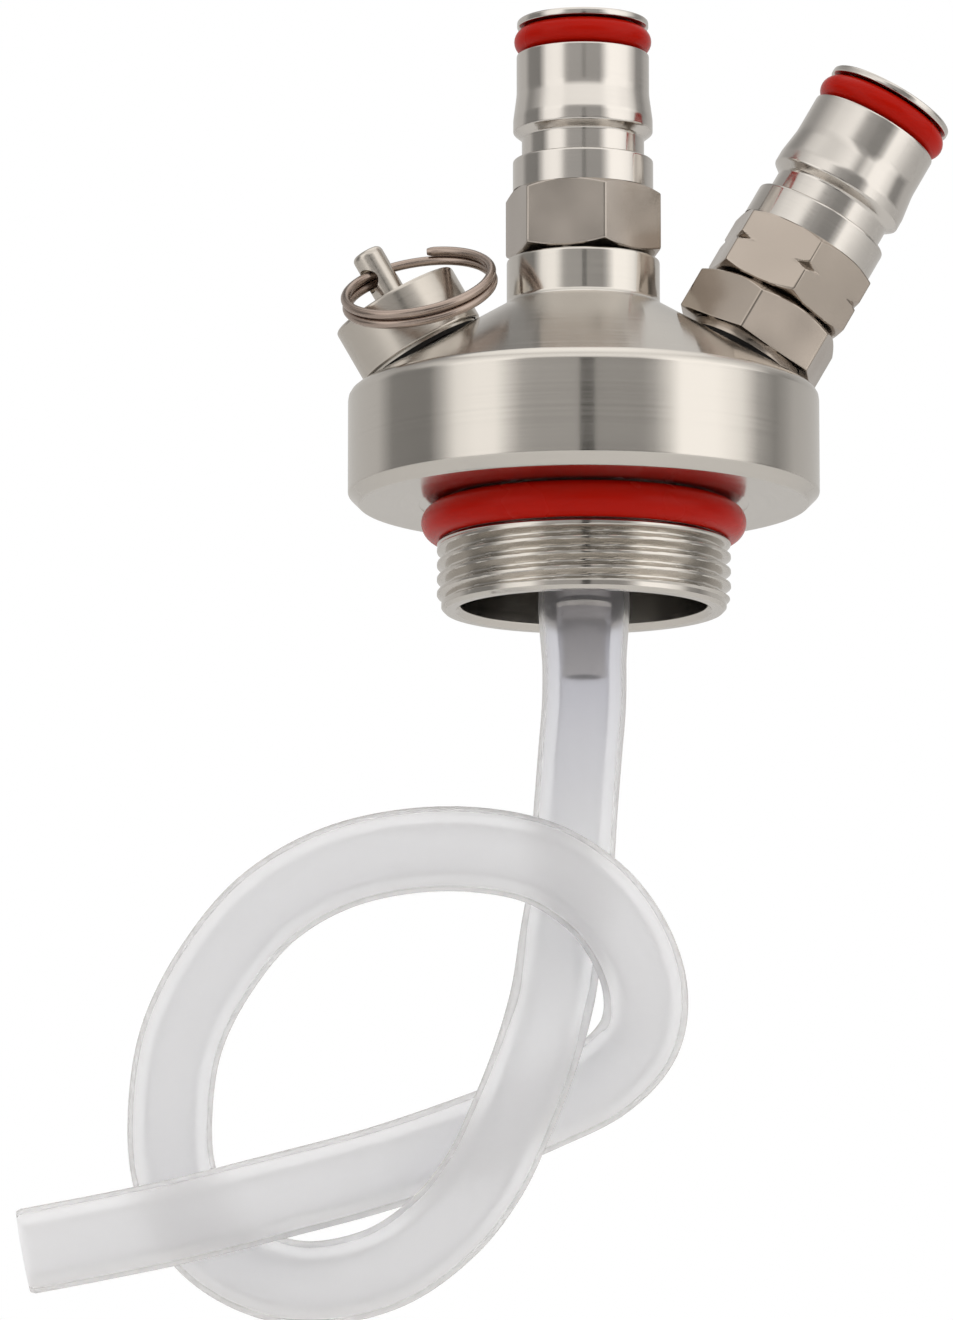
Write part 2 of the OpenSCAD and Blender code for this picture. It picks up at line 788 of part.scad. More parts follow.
module relief_cap() {
    pin_way_r = relief_pin_d / 2 + pin_hole_gap;
    color(steel)
        at_relief_port()
            rotate_extrude()
                polygon([[cap_bore_d / 2, cap_low], [relief_cap_d / 2 - edge_break, cap_low],
                    [relief_cap_d / 2, cap_low + edge_break],
                    [relief_cap_d / 2, cap_top - edge_break],
                    [relief_cap_d / 2 - edge_break, cap_top], [pin_way_r, cap_top],
                    [pin_way_r, cap_inside], [cap_bore_d / 2, cap_inside]]);
}

module relief_stem() {
    pin_r = relief_pin_d / 2;
    color(steel)
        at_relief_port()
            difference() {
                rotate_extrude()
                    polygon(concat(
                        [[0, stem_low], [stem_disc_d / 2, stem_low],
                            [stem_disc_d / 2, stem_disc_top], [pin_r, stem_disc_top]],
                        arc(pin_r - pin_round, pin_top - pin_round, pin_round, 0, 90),
                        [[0, pin_top]]));
                translate([0, 0, hole_t])
                    rotate([0, 90, ring_turn])
                        cylinder(d = relief_hole_d, h = 2 * relief_pin_d, center = true);
            }
}

module relief_seal() {
    color(rubber_black)
        at_relief_port()
            translate([0, 0, plug_low]) cylinder(d = plug_d, h = plug_t);
}

module relief_spring() {
    color(steel)
        at_relief_port()
            coil_spring(relief_spring_r, relief_spring_wire, relief_spring_turns,
                stem_disc_top, cap_inside);
}

// Middle line of the split ring, about its own middle, down from its upper free end
ring_line = [for (p = helix(ring_r, ring_turns, 0, ring_turns, 0, ring_rings_a_turn))
    let (a = ring_free_end - atan2(p.y, p.x))
    [ring_r * cos(a), ring_r * sin(a), ring_pitch * (p.z - ring_turns / 2) + ring_lift]];

module pull_ring() {
    color(ring_steel)
        at_relief_port()
            translate([0, 0, hole_t])
                rotate([0, 0, ring_turn + ring_skew])
                    rotate([ring_droop, 0, 0])
                        rotate([0, ring_roll, 0])
                            translate([0, -ring_r, 0])
                                wound_wire(ring_line, ring_wire_d, ring_sides);
}

// The least gap that each wound or looped piece leaves to itself
poppet_spring_line = helix(poppet_spring_r, shoulder_z + poppet_spring_wire / 2 + spring_end_gap,
    disc_low - poppet_spring_wire / 2 - spring_end_gap, poppet_spring_turns, 0,
    spring_rings_a_turn);
relief_spring_line = helix(relief_spring_r, stem_disc_top + relief_spring_wire / 2
    + spring_end_gap, cap_inside - relief_spring_wire / 2 - spring_end_gap,
    relief_spring_turns, 0, spring_rings_a_turn);
echo(pull_ring_gap = least_gap(ring_line, ring_rings_a_turn / 2) - ring_wire_d);
echo(poppet_spring_gap = least_gap(poppet_spring_line, spring_rings_a_turn / 2)
    - poppet_spring_wire);
echo(relief_spring_gap = least_gap(relief_spring_line, spring_rings_a_turn / 2)
    - relief_spring_wire);
echo(hose_gap = least_gap(smooth(hose_route, 4 * hose_steps), 3 * 4 * hose_steps) - hose_d);

lid_body();
neck_seal();
liquid_post();
liquid_post_seal();
liquid_poppet();
liquid_poppet_seal();
liquid_poppet_spring();
liquid_dip_tube();
liquid_tube_seal();
hose_barb();
beer_hose();
gas_adapter();
gas_adapter_washer();
gas_post();
gas_post_seal();
gas_poppet();
gas_poppet_seal();
gas_poppet_spring();
gas_dip_tube();
gas_tube_seal();
relief_body();
relief_washer();
relief_cap();
relief_stem();
relief_seal();
relief_spring();
pull_ring();
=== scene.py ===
# %% [markdown]
# A mini keg tap, dressed on its CAD frame. The frame gives every body and every solid in its
# real place, so this script only has to make surfaces that look like the turned steel, the
# silicone and the spring wire of the real thing. Sizes below are in millimetres, as on a
# maker's drawing, and one factor turns them to metres where a mesh is made.

# %% Load the frame
import math

import bmesh
import bpy
import numpy as np
from mathutils import Matrix


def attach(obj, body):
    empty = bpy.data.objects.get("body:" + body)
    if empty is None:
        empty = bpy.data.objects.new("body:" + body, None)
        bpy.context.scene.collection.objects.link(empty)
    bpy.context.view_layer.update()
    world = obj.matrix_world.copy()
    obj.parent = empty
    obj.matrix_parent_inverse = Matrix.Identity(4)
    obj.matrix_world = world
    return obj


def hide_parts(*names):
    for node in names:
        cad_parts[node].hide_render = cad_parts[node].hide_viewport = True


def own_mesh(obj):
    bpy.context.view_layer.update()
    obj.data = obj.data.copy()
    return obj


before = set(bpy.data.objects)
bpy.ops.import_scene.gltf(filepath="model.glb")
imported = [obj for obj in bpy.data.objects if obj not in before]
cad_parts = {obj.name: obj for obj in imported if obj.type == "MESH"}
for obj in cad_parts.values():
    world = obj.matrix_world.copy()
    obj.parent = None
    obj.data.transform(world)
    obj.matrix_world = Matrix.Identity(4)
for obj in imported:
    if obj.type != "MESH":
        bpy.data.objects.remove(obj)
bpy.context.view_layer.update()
MM = 0.001

# %% [markdown]
# The camera comes first, because everything is judged through it. The photograph was taken
# from below the lid with a long lens, turned three degrees about the lid's axis. Giving the
# lens by its height keeps the framing the same whatever the render's size is.

# %% Camera
YAW = math.radians(3.0)
PITCH = math.radians(9.0)
# in pixels of the photograph: the lens, half the picture's height, and the row of the origin
LENS_PX, HALF_H, ORIGIN_ROW = 7818.0, 660.0, 505.4
# how far the camera stands from the lid's axis, and to the left of it
AWAY, ASIDE = 1101.0, 15.34
FILM = 36.0

rise = (HALF_H - ORIGIN_ROW) / LENS_PX
drop = AWAY * math.tan(PITCH + math.atan(rise))
turn_back = Matrix.Rotation(-YAW, 4, "Z")
camera = bpy.data.objects.new("camera", bpy.data.cameras.new("camera"))
camera.data.sensor_fit = "VERTICAL"
camera.data.sensor_height = FILM
camera.data.lens = FILM * LENS_PX / (2 * HALF_H)
camera.data.clip_end = 20.0
camera.matrix_world = (
    turn_back
    @ Matrix.Translation((-ASIDE * MM, -AWAY * MM, -drop * MM))
    @ Matrix.Rotation(math.pi / 2 + PITCH, 4, "X")
)
bpy.context.scene.collection.objects.link(camera)
bpy.context.scene.camera = camera
print(f"camera {drop:.1f} mm below the seat, lens {camera.data.lens:.1f} mm")

# %% [markdown]
# Every surface here is a grid: one direction goes round, the other along. This cell turns a
# grid of points into a mesh, with a UV map whose first number counts turns and whose second
# is the length along in millimetres. Brushed metal needs to know those two directions.


# %% From a grid to a mesh
def cells(rows, columns, wrap_rows):
    """Corner numbers of the grid's quads. Column j joins column j + 1, and the last joins the
    first; row i joins row i + 1, and where wrap_rows is true the last row joins the first."""
    i = np.arange(rows if wrap_rows else rows - 1)[:, None]
    j = np.arange(columns)[None, :]
    up, on = (i + 1) % rows, (j + 1) % columns
    return np.stack(
        [i * columns + j, i * columns + on, up * columns + on, up * columns + j], -1
    ).reshape(-1, 4)


def cell_uv(along, columns, wrap_rows):
    """UV of each quad's corners: turns across, and the length of the profile along."""
    along = np.append(along, along[-1] + 1.0) if wrap_rows else along
    j = np.arange(columns) / columns
    step = 1.0 / columns
    low, high = along[:-1, None], along[1:, None]
    one = np.ones_like(j)[None, :]
    u = np.stack([low * 0 + j, low * 0 + j + step, low * 0 + j + step, low * 0 + j], -1)
    v = np.stack([low * one, low * one, high * one, high * one], -1)
    return np.stack([u, v], -1).reshape(-1, 2)


def add_mesh(name, points, faces, uv, materials, body, replaces=(), sharp=32):
    """Puts points (metres) and faces into a new mesh object that rides on a body. Edges that
    turn by more than sharp degrees are shaded as edges."""
    mesh = bpy.data.meshes.new(name)
    mesh.from_pydata(points, [], faces)
    if uv is not None:
        mesh.uv_layers.new(name="turned").data.foreach_set("uv", np.ravel(uv))
    for material in materials:
        mesh.materials.append(material)
    mesh.shade_smooth()
    mesh.set_sharp_from_angle(angle=math.radians(sharp))
    piece = bpy.data.objects.new(name, mesh)
    bpy.context.scene.collection.objects.link(piece)
    if body:
        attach(piece, body)
    if replaces:
        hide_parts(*replaces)
    print(f"made {name}, {len(faces)} faces")
    return piece


# %% [markdown]
# Materials are node trees, and one small function adds a node with its settings and links.
# Colours are written as the hex values that a paint program shows, which are sRGB, and
# Blender works in linear light, so a second function converts them, and a third dims one.


# %% Helpers for materials
def linear(hex_colour):
    """Linear red, green, blue and alpha of an sRGB hex colour."""
    c = np.array([int(hex_colour[i : i + 2], 16) for i in (1, 3, 5)]) / 255
    return (*np.where(c <= 0.04045, c / 12.92, ((c + 0.055) / 1.055) ** 2.4), 1.0)


def add(tree, kind, settings=None, **inputs):
    """Adds a node. settings are its own properties. inputs are its sockets by name, with _ for
    a space, or by number after an n, each given a value or another node's output to link."""
    made = tree.nodes.new(kind)
    for key, value in (settings or {}).items():
        setattr(made, key, value)
    for key, value in inputs.items():
        by_number = key[0] == "n" and key[1:].isdigit()
        socket = made.inputs[int(key[1:]) if by_number else key.replace("_", " ")]
        if isinstance(value, bpy.types.NodeSocket):
            tree.links.new(value, socket)
        else:
            socket.default_value = value
    return made


def new_material(name):
    """An empty node material and its tree."""
    material = bpy.data.materials.new(name)
    material.use_nodes = True
    material.node_tree.nodes.clear()
    print("finish", name)
    return material, material.node_tree


def dimmed(hex_colour, share):
    """Linear red, green, blue and alpha of a hex colour, with a share of its light left."""
    return (*(share * c for c in linear(hex_colour)[:3]), 1.0)


# %% [markdown]
# The metal is 304 stainless steel, turned on a lathe. The tool leaves rings a tenth of a
# millimetre apart, which smear every reflection along the axis: that is why the disc shows
# upright bands of light and dark. Those rings are too fine for the picture, so they act through
# the anisotropy, turned a quarter so that it smears along the axis and not round it. A coarser
# set, about half a millimetre, is drawn for the eye.


# %% Turned stainless steel
def turned_steel(name, colour, roughness, anisotropy, feed_mm, bump_mm, mottle):
    """Stainless steel with tool marks round it. feed_mm is the spacing of the marks that are
    drawn, bump_mm is their depth, and mottle is how much handling has changed the gloss."""
    material, tree = new_material(name)
    uv = add(tree, "ShaderNodeUVMap", {"uv_map": "turned"}).outputs["UV"]
    marks_at = add(
        tree, "ShaderNodeMapping", Vector=uv, Scale=(0.4, 1.0 / feed_mm, 1.0)
    ).outputs["Vector"]
    marks = add(
        tree, "ShaderNodeTexNoise", {"noise_dimensions": "2D"},
        Vector=marks_at, Scale=1.0, Detail=3.0, Roughness=0.6,
    ).outputs["Fac"]
    where = add(tree, "ShaderNodeTexCoord").outputs["Object"]
    handled = add(
        tree, "ShaderNodeTexNoise", Vector=where, Scale=1 / (14 * MM), Detail=3.0, Roughness=0.5
    ).outputs["Fac"]
    gloss = add(
        tree, "ShaderNodeMath", {"operation": "ADD"}, n0=handled, n1=marks
    ).outputs[0]
    rough = add(
        tree, "ShaderNodeMapRange", Value=gloss, From_Min=0.7, From_Max=1.3,
        To_Min=roughness - mottle, To_Max=roughness + mottle,
    ).outputs["Result"]
    tint = add(
        tree, "ShaderNodeMix", {"data_type": "RGBA"}, Factor=gloss,
        n6=dimmed(colour, 0.90), n7=linear(colour),
    ).outputs[2]
    bump = add(
        tree, "ShaderNodeBump", Height=marks, Distance=bump_mm * MM, Strength=0.4
    ).outputs["Normal"]
    tangent = add(
        tree, "ShaderNodeTangent", {"direction_type": "UV_MAP", "uv_map": "turned"}
    ).outputs["Tangent"]
    shader = add(
        tree, "ShaderNodeBsdfPrincipled", Base_Color=tint, Metallic=1.0, Roughness=rough,
        Anisotropic=anisotropy, Anisotropic_Rotation=0.25, Normal=bump, Tangent=tangent,
    )
    add(tree, "ShaderNodeOutputMaterial", Surface=shader.outputs["BSDF"])
    return material


# 304 stainless, fine turned and polished: bright, nearly neutral, a little warm
lid_steel = turned_steel("turned_304_stainless_lid", "#D2CEC8", 0.15, 0.85, 0.45, 0.002, 0.03)
# the posts are turned finer and tumbled bright, so their bands are sharper
post_steel = turned_steel(
    "bright_turned_stainless_posts", "#D4D0CB", 0.14, 0.70, 0.35, 0.002, 0.03
)
# the relief valve's cap is satin all over, and its bands run into each other
cap_steel = turned_steel("satin_turned_relief_cap", "#CCC6BE", 0.22, 0.60, 0.40, 0.001, 0.04)

# %% [markdown]
# Hexagons keep the satin skin of the drawn bar they are cut from. Its grain is too fine to
# see, so it acts through the roughness; what shows is how the gloss drifts over a few
# millimetres, and how each flat shades from one end to the other, because tumbling leaves it
# a little crowned. Both come from object coordinates, so the CAD's meshes can wear them too.


# %% Satin stainless steel
def satin_steel(name, colour, roughness, crown_mm=0.0):
    """Steel with an even satin skin, whose gloss and tint drift slowly. Tumbling leaves its
    flats a little crowned, by up to crown_mm."""
    material, tree = new_material(name)
    where = add(tree, "ShaderNodeTexCoord").outputs["Object"]
    drift = add(
        tree, "ShaderNodeTexNoise", Vector=where, Scale=1 / (6 * MM), Detail=3.0
    ).outputs["Fac"]
    rough = add(
        tree, "ShaderNodeMapRange", Value=drift, From_Min=0.3, From_Max=0.7,
        To_Min=roughness - 0.05, To_Max=roughness + 0.06,
    ).outputs["Result"]
    tint = add(
        tree, "ShaderNodeMix", {"data_type": "RGBA"}, Factor=drift,
        n6=dimmed(colour, 0.86), n7=linear(colour),
    ).outputs[2]
    swell = add(
        tree, "ShaderNodeTexNoise", Vector=where, Scale=1 / (9 * MM), Detail=0.0
    ).outputs["Fac"]
    bump = add(
        tree, "ShaderNodeBump", Height=swell, Distance=crown_mm * MM, Strength=1.0
    ).outputs["Normal"]
    shader = add(
        tree, "ShaderNodeBsdfPrincipled", Base_Color=tint, Metallic=1.0, Roughness=rough,
        Normal=bump,
    )
    add(tree, "ShaderNodeOutputMaterial", Surface=shader.outputs["BSDF"])
    return material


# a soft sheen on each flat, warmer than the turned metal; the gas side is a little sharper
hex_steel = satin_steel("satin_drawn_bar_hexagons", "#BAB2AA", 0.19, 0.4)
gas_hex_steel = satin_steel("satin_drawn_bar_gas_side", "#B6ACA2", 0.17, 0.4)

# %% [markdown]
# Split rings are wound from spring wire that is drawn through a die and tempered, which
# leaves a dull brown grey skin with fine lines along the wire.


# %% Tempered spring wire
def drawn_wire(name, colour, roughness):
    """Tempered wire, read through the UV map: lines run along it, and the gloss varies."""
    material, tree = new_material(name)
    uv = add(tree, "ShaderNodeUVMap", {"uv_map": "turned"}).outputs["UV"]
    lines_at = add(tree, "ShaderNodeMapping", Vector=uv, Scale=(26.0, 0.15, 1.0)).outputs["Vector"]
    lines = add(
        tree, "ShaderNodeTexNoise", {"noise_dimensions": "2D"},
        Vector=lines_at, Scale=1.0, Detail=2.0,
    ).outputs["Fac"]
    rough = add(
        tree, "ShaderNodeMapRange", Value=lines, From_Min=0.3, From_Max=0.7,
        To_Min=roughness - 0.08, To_Max=roughness + 0.1,
    ).outputs["Result"]
    tint = add(
        tree, "ShaderNodeMix", {"data_type": "RGBA"}, Factor=lines,
        n6=dimmed(colour, 0.8), n7=linear(colour),
    ).outputs[2]
    bump = add(
        tree, "ShaderNodeBump", Height=lines, Distance=0.006 * MM, Strength=0.5
    ).outputs["Normal"]
    shader = add(
        tree, "ShaderNodeBsdfPrincipled",
        Base_Color=tint, Metallic=1.0, Roughness=rough, Normal=bump,
    )
    add(tree, "ShaderNodeOutputMaterial", Surface=shader.outputs["BSDF"])
    return material


# the brown grey skin keeps a broad highlight along the wire
ring_wire = drawn_wire("tempered_split_ring_wire", "#B3A399", 0.24)

# %% [markdown]
# The seal rings are pressed silicone rubber. It is smooth from the polished mould, takes a
# soft highlight, and lets a little light in, which keeps its shadows red and not black.


# %% Rubber
def moulded_rubber(name, colour, roughness, glow, speck_mm):
    """Moulded rubber with a faint skin texture. glow is how much light scatters under it."""
    material, tree = new_material(name)
    where = add(tree, "ShaderNodeTexCoord").outputs["Object"]
    skin = add(
        tree, "ShaderNodeTexNoise", Vector=where, Scale=1 / (speck_mm * MM), Detail=3.0
    ).outputs["Fac"]
    bloom = add(
        tree, "ShaderNodeTexNoise", Vector=where, Scale=1 / (9 * MM), Detail=2.0
    ).outputs["Fac"]
    rough = add(
        tree, "ShaderNodeMapRange", Value=bloom, From_Min=0.3, From_Max=0.7,
        To_Min=roughness - 0.06, To_Max=roughness + 0.08,
    ).outputs["Result"]
    tint = add(
        tree, "ShaderNodeMix", {"data_type": "RGBA"}, Factor=bloom,
        n6=dimmed(colour, 0.86), n7=linear(colour),
    ).outputs[2]
    bump = add(
        tree, "ShaderNodeBump", Height=skin, Distance=0.01 * MM, Strength=0.4
    ).outputs["Normal"]
    shader = add(
        tree, "ShaderNodeBsdfPrincipled", Base_Color=tint, Roughness=rough, IOR=1.41,
        Specular_IOR_Level=0.15, Normal=bump, Subsurface_Weight=glow,
        Subsurface_Radius=(1.0, 0.15, 0.1), Subsurface_Scale=0.8 * MM,
    )
    add(tree, "ShaderNodeOutputMaterial", Surface=shader.outputs["BSDF"])
    return material


# a deep red with a small soft highlight
red_silicone = moulded_rubber("moulded_red_silicone", "#BE1606", 0.24, 0.05, 0.5)
# washers and small seals are nitrile: matt, and never quite black
black_nitrile = moulded_rubber("moulded_black_nitrile", "#262524", 0.50, 0.0, 0.3)

# %% [markdown]
# The hose is extruded silicone. It is see-through but milky, because fine silica in the rubber
# scatters light. A transmitting shader with a rough inside gives the blur, and the part that
# doesn't transmit is a pale diffuse that gives the milkiness. The hose is clearer on the barb
# and just below it, and milkier farther down, so both follow the height. The diffuse colour
# follows the height too: it is a painted shade, greyer and a little blue near the top, under
# the lid. Silicone bends light by 1.41, but a wall that scatters as it goes shows less of that
# bend, so the IOR here is matched to the object. The roughness is nowhere under 0.3, so that
# the picture's denoiser treats the whole hose alike.

# %% Milky silicone hose
CLEAR_ABOVE, MILKY_BELOW = -20.0, -52.0

hose_silicone, tree = new_material("extruded_milky_silicone_hose")
where = add(tree, "ShaderNodeTexCoord").outputs["Object"]
cloud = add(
    tree, "ShaderNodeTexNoise", Vector=where, Scale=1 / (16 * MM), Detail=2.0
).outputs["Fac"]
height = add(tree, "ShaderNodeSeparateXYZ", Vector=where).outputs["Z"]
# the height sets the clearness, the roughness, and the painted shade in the colour
milk_and_shade = add(
    tree, "ShaderNodeMapRange", Value=height,
    From_Min=CLEAR_ABOVE * MM, From_Max=MILKY_BELOW * MM,
).outputs["Result"]
milk_and_shade = add(
    tree, "ShaderNodeMath", {"operation": "MULTIPLY_ADD"}, n0=cloud, n1=0.3, n2=milk_and_shade
).outputs[0]
# painted shade: the diffuse colour is greyer and a little blue high up, under the lid
hose_tint_painted_shade = add(
    tree, "ShaderNodeMix", {"data_type": "RGBA"}, Factor=milk_and_shade,
    n6=linear("#DADAE0"), n7=linear("#F4F4F5"),
).outputs[2]
hose_rough = add(
    tree, "ShaderNodeMapRange", Value=milk_and_shade, From_Min=0.1, From_Max=1.2, To_Min=0.30, To_Max=0.65
).outputs["Result"]
clearness = add(
    tree, "ShaderNodeMapRange", Value=milk_and_shade, From_Min=0.1, From_Max=1.2, To_Min=0.86, To_Max=0.74
).outputs["Result"]
shader = add(
    tree, "ShaderNodeBsdfPrincipled", Base_Color=hose_tint_painted_shade, Roughness=hose_rough, IOR=1.14,
    Transmission_Weight=clearness,
)
add(tree, "ShaderNodeOutputMaterial", Surface=shader.outputs["BSDF"])

# %% [markdown]
# The hose is made before the rest, because its real length is a fact of the object. It leaves
# the barb under the lid and is tied in a loose overhand knot. The route below is the CAD's own
# list of points. One smooth curve runs through them: between two points, it is the cubic that
# leaves and arrives in the direction of the neighbours on either side.

# %% The hose's route
hose_route = MM * np.array([
    [0, 0, -6], [0, 0, -18], [0, 0, -28], [-0.5, 2, -36], [-1, 4.5, -44], [-1.5, 6.5, -53],
    [-3, 5, -62], [-4.5, 1, -70.5], [-7, -4, -79], [-10.5, -6.5, -88], [-14.5, -6, -96.5],
    [-20, -3, -103.5], [-28, 1, -109], [-38, 6, -111], [-46.5, 9.5, -109], [-53.5, 11, -104],
    [-57.5, 10.5, -96.5], [-58.5, 8.5, -87.5], [-57, 6, -76.5], [-52, 3, -66.5],
    [-44.5, -0.5, -58], [-34, -3.5, -52.5], [-21, -6, -50.5], [-8.5, -7.5, -52], [0, -7, -56.5],
    [5.5, -4.5, -62.5], [8.5, -0.5, -69.5], [8, 4.5, -76], [3, 8, -81.5], [-5, 9.5, -85.5],
    [-14.5, 8.5, -89.5], [-29, 3, -95], [-44, -2, -99.5], [-57, -4, -103], [-68.5, -4.5, -105.5],
    [-79, -4, -107.5],
])


def smooth_line(route, steps):
    """The route with steps points on each span. The span from b to c is a cubic in t whose
    slope is half the way from a to c at its start, and half the way from b to d at its end."""
    padded = np.vstack([route[:1], route, route[-1:]])
    a, b, c, d = padded[:-3], padded[1:-2], padded[2:-1], padded[3:]
    t = (np.arange(steps) / steps)[None, :, None]
    a, b, c, d = (x[:, None, :] for x in (a, b, c, d))
    curve = (
        2 * b + (c - a) * t + (2 * a - 5 * b + 4 * c - d) * t**2 + (3 * b - a - 3 * c + d) * t**3
    ) / 2
    return np.vstack([curve.reshape(-1, 3), route[-1:]])


def run_of(line):
    """Length along a line at each of its points."""
    return np.append(0.0, np.cumsum(np.linalg.norm(np.diff(line, axis=0), axis=1)))


def swept(line, radii, sides, across):
    """Rings of points round a line. At each point the ring lies square to the line; its first
    spoke is square to both the line and the fixed vector across."""
    heading = np.gradient(line, axis=0)
    heading /= np.linalg.norm(heading, axis=1, keepdims=True)
    spoke = np.cross(heading, across)
    spoke /= np.linalg.norm(spoke, axis=1, keepdims=True)
    other = np.cross(heading, spoke)
    a = 2 * np.pi * np.arange(sides) / sides
    ring = np.cos(a)[None, :, None] * spoke[:, None] + np.sin(a)[None, :, None] * other[:, None]
    return line[:, None] + radii[:, None, None] * ring


hose_line = smooth_line(hose_route, 10)
hose_run = run_of(hose_line)
print(f"hose {1000 * hose_run[-1]:.0f} mm along {len(hose_line)} rings")


# %% [markdown]
# A hose is a tube inside a tube. The barb's three ridges press the soft wall out a little, and
# each bulge is a bell curve along the hose.


# %% The hose
def hose():
    """Outer wall up to the open end, round the rim, and back along the bore: one closed grid.
    The wall swells by 0.45 mm where it is pushed over the barb, and its rims are eased by lip."""
    outer, bore, sides, lip, across = 6.0, 4.0, 56, 0.25, (0.0, 1.0, 0.0)
    barb_low, swell, fade = -16.8, 0.45, 6.0
    ridge_heights, ridge, ridge_w = (-8.4, -11.6, -14.8), 0.16, 0.8
    z = hose_line[:, 2] / MM
    stretch = swell * np.clip(1 + (z - barb_low) / fade, 0, 1)
    ridges = sum(ridge * np.exp(-(((z - height) / ridge_w) ** 2)) for height in ridge_heights)
    out_r, in_r = outer + stretch + ridges, bore + stretch + ridges
    out_r[[0, -1]] -= lip
    in_r[[0, -1]] += lip
    outside = swept(hose_line, out_r * MM, sides, across)
    inside = swept(hose_line, in_r * MM, sides, across)[::-1]
    points = np.vstack([outside, inside])
    along = np.append(hose_run, 2 * hose_run[-1] - hose_run[::-1]) / MM
    return add_mesh(
        "hose_clear", points.reshape(-1, 3), cells(len(points), sides, True)[:, ::-1],
        cell_uv(along, sides, True).reshape(-1, 4, 2)[:, ::-1], [hose_silicone],
        "lid", ["beer_hose"], 50,
    )


hose_piece = hose()

# %% [markdown]
# Turned parts are surfaces of revolution. A profile is drawn in millimetres as corners of a
# line, distance from the axis first and height second, and swung round the axis. No real edge
# is perfectly sharp, and a rounded edge is what catches the light, so each corner becomes a
# short curve. Two extra points beside it keep the flat faces flat when they are shaded.


# %% Profiles and revolving
def eased(corners, radius, steps=3, closed=True):
    """Rounds a profile. Each corner is replaced by the parabola that touches both sides, over
    a length equal to radius, or to most of the shorter side where radius is longer than that.
    One point more on each side of the curve, at most flat_mm away, holds the flats flat."""
    most, flat_mm = 0.42, 0.05
    p = np.array(corners, float)
    before, after = np.roll(p, 1, 0) - p, np.roll(p, -1, 0) - p
    len_b = np.linalg.norm(before, axis=1, keepdims=True)
    len_a = np.linalg.norm(after, axis=1, keepdims=True)
    radius = np.broadcast_to(np.array(radius, float), len(p)).reshape(-1, 1)
    shorter = np.minimum(len_b, len_a)
    reach = np.minimum(radius, most * shorter)
    hold = flat_mm * np.minimum(1.0, shorter)
    start, end = p + before / len_b * reach, p + after / len_a * reach
    t = np.linspace(0, 1, steps + 1)[None, :, None]
    curve = (1 - t) ** 2 * start[:, None] + 2 * t * (1 - t) * p[:, None] + t**2 * end[:, None]
    first = (p + before / len_b * (reach + hold))[:, None]
    last = (p + after / len_a * (reach + hold))[:, None]
    rows = np.concatenate([first, curve, last], 1)
    if closed:
        return rows.reshape(-1, 2)
    return np.vstack([p[:1], rows[1:-1].reshape(-1, 2), p[-1:]])


def revolved(name, rows, place, materials, body, replaces=(), theta=128, paint=None,
             closed=True, sharp=32):
    """Swings rows of (radius, height) about the axis and moves the result by the matrix place.
    rows has a third axis where the radius changes round the axis, as on a hexagon. An open
    profile starts and ends on the axis, where its rows shrink to a point."""
    if np.ndim(theta) == 0:
        theta = 2 * np.pi * np.arange(theta) / theta
    n = len(theta)
    rows = np.array(rows, float)
    if rows.ndim == 2:
        rows = np.repeat(rows[:, :, None], n, 2)
    r, z = rows[:, 0], rows[:, 1]
    points = MM * np.stack([r * np.cos(theta), r * np.sin(theta), z], -1).reshape(-1, 3)
    points = points @ np.array(place.to_3x3()).T + np.array(place.translation)
    along = np.append(0, np.cumsum(np.hypot(np.diff(r[:, 0]), np.diff(z[:, 0]))))
    faces, uv = cells(len(rows), n, closed), cell_uv(along, n, closed)
    piece = add_mesh(name, points, faces, uv, materials, None, sharp=sharp)
    if paint is not None:
        row_of_face = np.repeat(np.arange(len(faces) // n), n)
        piece.data.polygons.foreach_set("material_index", np.array(paint)[row_of_face])
    if not closed:
        weld(piece)
    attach(piece, body)
    if replaces:
        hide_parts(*replaces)
    return piece


def weld(piece):
    """Merges the points of each row that shrank onto the axis, and drops the empty faces."""
    work = bmesh.new()
    work.from_mesh(piece.data)
    bmesh.ops.remove_doubles(work, verts=work.verts, dist=1e-7)
    bmesh.ops.dissolve_degenerate(work, edges=work.edges, dist=1e-8)
    work.to_mesh(piece.data)
    work.free()


def cut(piece, *cutters):
    """Subtracts closed pieces from another with an exact Boolean, and deletes them."""
    for cutter in cutters:
        knife = piece.modifiers.new("cut", "BOOLEAN")
        knife.object, knife.operation, knife.solver = cutter, "DIFFERENCE", "EXACT"
    view = bpy.context.evaluated_depsgraph_get()
    after = bpy.data.meshes.new_from_object(piece.evaluated_get(view))
    piece.modifiers.clear()
    piece.data = after
    for cutter in cutters:
        bpy.data.objects.remove(cutter)
    piece.data.shade_smooth()
    piece.data.set_sharp_from_angle(angle=math.radians(32))


# %% [markdown]
# Three axes carry everything: the lid's own, and the two ports that stand square to its cone.
# Their places are the CAD's: 23 mm out from the lid's axis, leaning 30 degrees.

# %% Axes of the lid and its ports
CONE = math.radians(30)
CONE_FOOT_R, CONE_FOOT_Z = 32.95, 16.5
BOSS_R = 11.0
PORT_R = 23.0
CONE_TOP = CONE_FOOT_Z + (CONE_FOOT_R - BOSS_R) * math.tan(CONE)
PORT_Z = CONE_TOP - (PORT_R - BOSS_R) * math.tan(CONE)
BOSS_TOP = CONE_TOP + 6.4
LIQUID_BASE = BOSS_TOP + 0.4
GAS_BASE = 8.5


def along_axis(x, z, lean, up):
    """Matrix of an axis that starts at (x, 0, z), leans about Y, and begins up from there."""
    return (
        Matrix.Translation((x * MM, 0, z * MM))
        @ Matrix.Rotation(lean, 4, "Y")
        @ Matrix.Translation((0, 0, up * MM))
    )


